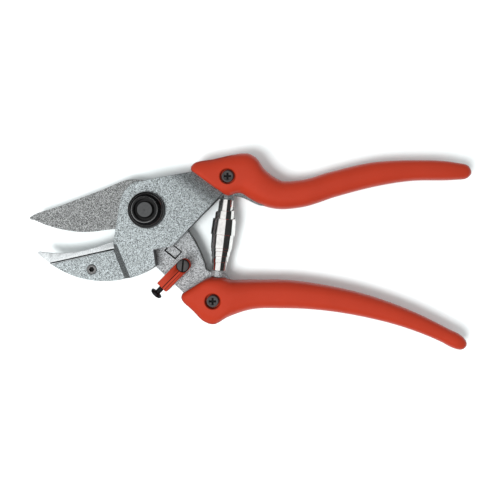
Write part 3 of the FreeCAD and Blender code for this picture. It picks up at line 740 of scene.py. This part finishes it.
nut = add_piece("pivot_collar_nut",
                lathe("pivot_collar_nut", NUT_PROFILE, segments=TEETH * TOOTH_STEPS, ripple=teeth),
                "black_steel", "lower", "pivot_nut")
# The lighter edges, worn and with painted highlight, as inner and outer radius, and lower and upper height.
NUT_WEAR_AND_HIGHLIGHT = [(5.72, 6.06, 20.5, 20.8), (7.3, 7.5, 17.4, 17.62), (8.2, 8.5, 17.0, 17.3)]
paint_faces(nut, EDGE_WEAR_AND_HIGHLIGHT, bands((0.0, 0.0), *NUT_WEAR_AND_HIGHLIGHT))


# ---------------------------------------------------------------- lock stud and its spring

STUD_PROFILE = [
    (0.0, 9.25), (1.15, 9.25), (1.25, 9.35), (1.25, 17.7), (1.45, 18.0), (2.6, 18.0), (2.85, 18.15),
    (2.9, 18.45), (2.85, 18.9), (2.5, 19.4), (1.9, 19.65), (1.0, 19.7), (0.0, 19.7),
]
# A frame on the lock pivot whose Z axis runs down the middle of the lever.
LEVER_PLACE = place_at(*LOCK_PIVOT, STUD_Z) @ turned(LEVER_ANGLE) @ turned(math.pi / 2, "Y")
stud = add_piece("lock_button", lathe("lock_button", STUD_PROFILE, LEVER_PLACE, segments=48),
                 "black_steel", "stud", "lock_stud")
PIN_SLOT = [(-0.65, -3.0), (0.65, -3.0), (0.65, 3.0), (-0.65, 3.0)]
carve(stud, prism("pin slot", PIN_SLOT, 10.35, 14.65, LEVER_PLACE))


COIL_START, COIL_END = 3.4, 9.05
COIL_TURNS = 7
COIL_RADIUS = 1.12
WIRE_RADIUS = 0.2
WIRE_SIDES = 10
COIL_TURN_STEPS = 24


def coil_mesh(name, place):
    """A round wire wound about the Z axis of a frame."""
    steps = COIL_TURNS * COIL_TURN_STEPS
    spots, outs = [], []
    for step in range(steps + 1):
        angle = 2 * math.pi * COIL_TURNS * step / steps
        out = Vector((math.cos(angle), math.sin(angle), 0.0))
        height = COIL_START + (COIL_END - COIL_START) * step / steps
        spots.append(place @ (out * COIL_RADIUS + Vector((0, 0, height))))
        outs.append(place.to_3x3() @ out)
    rings = []
    for index, spot in enumerate(spots):
        ahead = (spots[min(index + 1, steps)] - spots[max(index - 1, 0)]).normalized()
        out = (outs[index] - ahead * outs[index].dot(ahead)).normalized()
        side = ahead.cross(out)
        rings.append([spot + (out * x + side * y) * WIRE_RADIUS for x, y in polygon(1.0, WIRE_SIDES)])
    return rings_to_mesh(name, rings)


coil = add_piece("lock_coil", coil_mesh("lock_coil", LEVER_PLACE), "spring_chrome", None, "lock_spring")
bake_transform(coil)


# ---------------------------------------------------------------- return spring

STRIP_THICK = 0.38
STRIP_WIDE = 7.6
STRIP_FLARE = 0.035
STRIP_EDGE = 0.12
VOLUTE_TURN_STEPS = 48
# How far each turn keeps its size before it widens into the next: 0 widens evenly.
STEPPING = 0.7
# Each turn's outer radius, and where its near edge lies along the spring from that volute's seat.
LOWER_VOLUTE = [(3.3, 0.0), (3.5, 0.0), (4.0, 4.0), (4.5, 6.8), (4.9, 9.2), (5.15, 10.6), (5.15, 10.6)]
UPPER_VOLUTE = [(3.2, 0.0), (3.4, 0.0), (4.5, 5.6), (5.6, 9.4), (5.65, 9.4)]


def volute_mesh(name, turns, place):
    """A strip wound into a telescope of turns, each wider than the last and overlapping it."""
    section = (
        (STRIP_THICK, 0.0), (STRIP_EDGE, 0.0), (0.0, STRIP_EDGE),
        (0.0, STRIP_WIDE - STRIP_EDGE), (STRIP_EDGE, STRIP_WIDE), (STRIP_THICK, STRIP_WIDE),
    )
    towards_front = place.to_3x3().inverted() @ Vector((0, 0, 1))
    first = math.atan2(towards_front.y, towards_front.x)
    last = len(turns) - 1
    rings = []
    for step in range(last * VOLUTE_TURN_STEPS + 1):
        spot = step / VOLUTE_TURN_STEPS
        low = min(last - 1, int(spot))
        part = spot - low
        part = (1 - STEPPING) * part + STEPPING * part * part * (3 - 2 * part)
        (radius, near), (next_radius, next_near) = turns[low], turns[low + 1]
        radius += (next_radius - radius) * part
        near += (next_near - near) * part
        angle = first + 2 * math.pi * spot
        out = Vector((math.cos(angle), math.sin(angle), 0.0))
        ring = []
        for depth, height in section:
            reach = radius - depth + STRIP_FLARE * (height - STRIP_WIDE / 2)
            ring.append(place @ (out * reach + Vector((0, 0, near + height))))
        rings.append(ring)
    return rings_to_mesh(name, rings)


def seat_place(here, there):
    """A frame at one spring seat whose Z axis runs to the other seat."""
    start = Vector((*here, SHEAR_Z))
    towards = (Vector((*there, SHEAR_Z)) - start).normalized()
    turn = Vector((0, 0, 1)).rotation_difference(towards).to_matrix().to_4x4()
    return Matrix.Translation(start) @ turn


for name, turns, here, there in (
    ("return_spring_lower", LOWER_VOLUTE, LOWER_SEAT, UPPER_SEAT),
    ("return_spring_upper", UPPER_VOLUTE, UPPER_SEAT, LOWER_SEAT),
):
    volute = add_piece(name, volute_mesh(name, turns, seat_place(here, there)), "spring_chrome", None)
    if name == "return_spring_lower":
        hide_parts("volute_spring")
    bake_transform(volute)


# ---------------------------------------------------------------- inner CAD nodes that stay

for node, slot in (
    ("pivot_bushing", "plain_screw_steel"),
    ("pivot_washer", "black_steel"),
    ("pivot_disc_spring", "black_steel"),
    ("lever_wave_washer", "plain_screw_steel"),
    ("stud_pin", "plain_screw_steel"),
):
    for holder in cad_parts[node].material_slots:
        holder.link = "OBJECT"
        holder.material = MATERIALS[slot]


# ---------------------------------------------------------------- table, light and camera

TABLE_HALF = 1500
TABLE_WHITE = (0.875, 0.93, 0.935)
TABLE_DARK = 0.10
# What shines sees the table dark to the left of here, and white to the right, in metres.
DARK_ENDS = (0.040, 0.036)


def add_floor():
    corners = [(x * TABLE_HALF, y * TABLE_HALF, 0) for x, y in ((-1, -1), (1, -1), (1, 1), (-1, 1))]
    mesh = mesh_of("table", corners, [(0, 1, 2, 3)])
    surface = Surface("table_white", roughness=0.9, gloss=0.1)
    left = surface.rise(surface.axis(surface.place, "X"), *DARK_ENDS)
    shining = surface.new("ShaderNodeLightPath").outputs["Is Glossy Ray"]
    surface.colour(surface.mix(surface.calculate("MULTIPLY", shining, left), TABLE_WHITE, TABLE_DARK))
    mesh.materials.append(surface.material)
    table = bpy.data.objects.new("table", mesh)
    bpy.context.scene.collection.objects.link(table)


KEY_PLACE = (-0.18, -0.23, 0.59)
KEY_AIM = (0.04, -0.01, 0.0)
KEY_SIZE = 0.24
KEY_POWER = 4.3


def add_key_light():
    light = bpy.data.lights.new("key light", "AREA")
    light.shape = "SQUARE"
    light.size = KEY_SIZE
    light.energy = KEY_POWER
    lamp = bpy.data.objects.new("key light", light)
    lamp.location = KEY_PLACE
    lamp.rotation_euler = (Vector(KEY_AIM) - Vector(KEY_PLACE)).to_track_quat("-Z", "Y").to_euler()
    lamp.visible_camera = False
    lamp.visible_glossy = False
    bpy.context.scene.collection.objects.link(lamp)


# The window's edges as slants from straight up, each fading in from its first number to its second.
WINDOW_SIDES = ((-2.0, -1.8), (0.36, 0.28))
WINDOW_ENDS = ((-1.0, -0.8), (0.34, 0.22))
WINDOW_GLOW = 1.1
DARK_GLOW = 0.035
SOFT_GLOW = 0.66
HORIZON = (0.02, 0.1)


def add_world():
    """White to the eye and even for soft light; what shines sees one long window overhead in a dark room."""
    world = bpy.data.worlds.new("studio")
    world.use_nodes = True
    bpy.context.scene.world = world
    sky = Tree(world.node_tree)
    direction = sky.new("ShaderNodeTexCoord").outputs["Generated"]
    height = sky.axis(direction, "Z")
    up = sky.calculate("MAXIMUM", height, HORIZON[0])
    window = sky.rise(height, *HORIZON)
    for name, edges in (("X", WINDOW_SIDES), ("Y", WINDOW_ENDS)):
        slant = sky.calculate("DIVIDE", sky.axis(direction, name), up)
        for start, end in edges:
            window = sky.calculate("MULTIPLY", window, sky.rise(slant, start, end))
    paths = sky.new("ShaderNodeLightPath")
    shine = sky.mix(window, DARK_GLOW, WINDOW_GLOW)
    lit = sky.mix(paths.outputs["Is Glossy Ray"], SOFT_GLOW, shine)
    seen = sky.mix(paths.outputs["Is Camera Ray"], lit, 1.0)
    sky.feed(sky.tree.nodes["Background"].inputs["Color"], seen)


CAMERA_PLACE = (0.048, -0.0093, 0.2485)
SENSOR_MM = 36.0
LENS_MM = 36.15
CAMERA_SHIFT = -0.04


def add_camera():
    """Looks straight down on the shears."""
    camera = bpy.data.cameras.new("camera")
    camera.sensor_width = SENSOR_MM
    camera.lens = LENS_MM
    camera.shift_y = CAMERA_SHIFT
    camera.clip_start = 0.01
    viewer = bpy.data.objects.new("camera", camera)
    viewer.location = CAMERA_PLACE
    bpy.context.scene.collection.objects.link(viewer)
    bpy.context.scene.camera = viewer


add_floor()
add_world()
add_key_light()
add_camera()
bpy.context.scene.view_settings.view_transform = "Standard"
